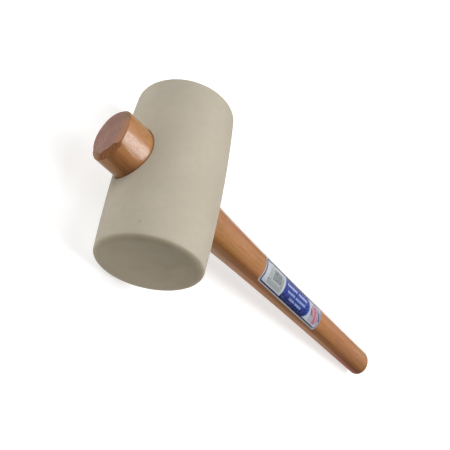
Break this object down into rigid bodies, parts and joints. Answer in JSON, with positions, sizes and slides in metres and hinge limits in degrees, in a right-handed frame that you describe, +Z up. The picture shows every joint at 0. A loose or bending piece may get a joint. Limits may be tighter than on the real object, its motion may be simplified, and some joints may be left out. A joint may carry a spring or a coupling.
{
  "type": "rubber mallet",
  "caption": "Barrel-shaped off-white rubber head on a tapered oval hardwood handle that stands out past the head, with a wrap-over printed label on the grip.",
  "frame": {"origin": "on the floor, under the middle of the mallet's box as it lies on its side", "axes": "+X along the handle towards the end of the grip, +Y along the head from one striking face to the other, +Z up; the handle slopes down by 4.1 degrees towards the grip, whose end rests on the floor"},
  "size_m": [0.4654, 0.1554, 0.09],
  "materials": {
    "head_rubber": "moulded solid rubber, matt, warm off-white, with a faint mottling",
    "handle_wood": "reddish-brown hardwood under a clear gloss varnish, matt on the sawn end",
    "label_film": "white film with a navy border, a silver-grey panel, a blue field with plain pale bars and a few plain slanted bars in red and blue"
  },
  "bodies": {
    "root": {"rubber_head": "head_rubber", "wooden_handle": "handle_wood", "handle_label": "label_film"}
  },
  "joints": []
}
